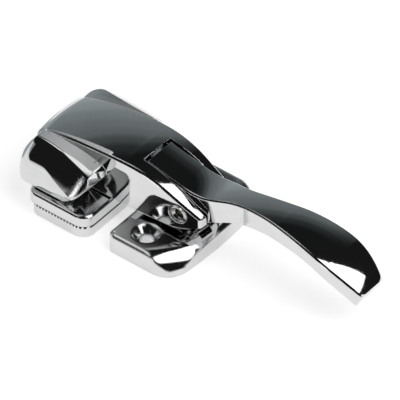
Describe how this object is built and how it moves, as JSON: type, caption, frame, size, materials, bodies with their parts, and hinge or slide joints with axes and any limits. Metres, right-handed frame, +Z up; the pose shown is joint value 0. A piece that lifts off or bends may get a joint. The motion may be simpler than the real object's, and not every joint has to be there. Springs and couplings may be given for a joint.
{
  "type": "over centre toggle latch",
  "caption": "Over centre toggle latch: a lever draws a hollow T-headed hook down over a serrated, adjustable keeper.",
  "frame": {"origin": "midway between the base's two screw holes, in the flat mounting plane under the base", "axes": "+X along the closed lever towards its tip, -X to the keeper, +Z up off the mounting surface, y = 0 the plane of symmetry"},
  "size_m": [0.1456, 0.0564, 0.0316],
  "materials": {
    "base_chrome": "polished chrome plate over a zinc die casting",
    "pin_steel": "plain turned steel",
    "lever_chrome": "polished chrome plate over a zinc die casting",
    "hook_chrome": "polished chrome plate over a zinc die casting",
    "rivet_steel": "bright steel tube, flared at the ends",
    "keeper_chrome": "polished chrome plate over a zinc die casting",
    "rack_chrome": "chrome plate over a zinc die casting, serrated above"
  },
  "bodies": {
    "base": {"base": "base_chrome", "base_pin": "pin_steel", "keeper": "keeper_chrome", "keeper_rack": "rack_chrome"},
    "lever": {"lever": "lever_chrome"},
    "hook": {"hook_body": "hook_chrome", "hook_pin": "rivet_steel"}
  },
  "joints": [
    {"name": "lever_pivot", "type": "hinge", "parent": "base", "child": "lever", "pos_m": [0.0004, 0, 0.018], "axis": [0, -1, 0], "range_deg": [0, 80]},
    {"name": "hook_pivot", "type": "hinge", "parent": "lever", "child": "hook", "pos_m": [0.00887, 0, 0.01726], "axis": [0, -1, 0], "range_deg": [-100, 0]}
  ],
  "couplings": [
    {"joint": "hook_pivot", "follows": "lever_pivot", "ratio": -1.2}
  ]
}
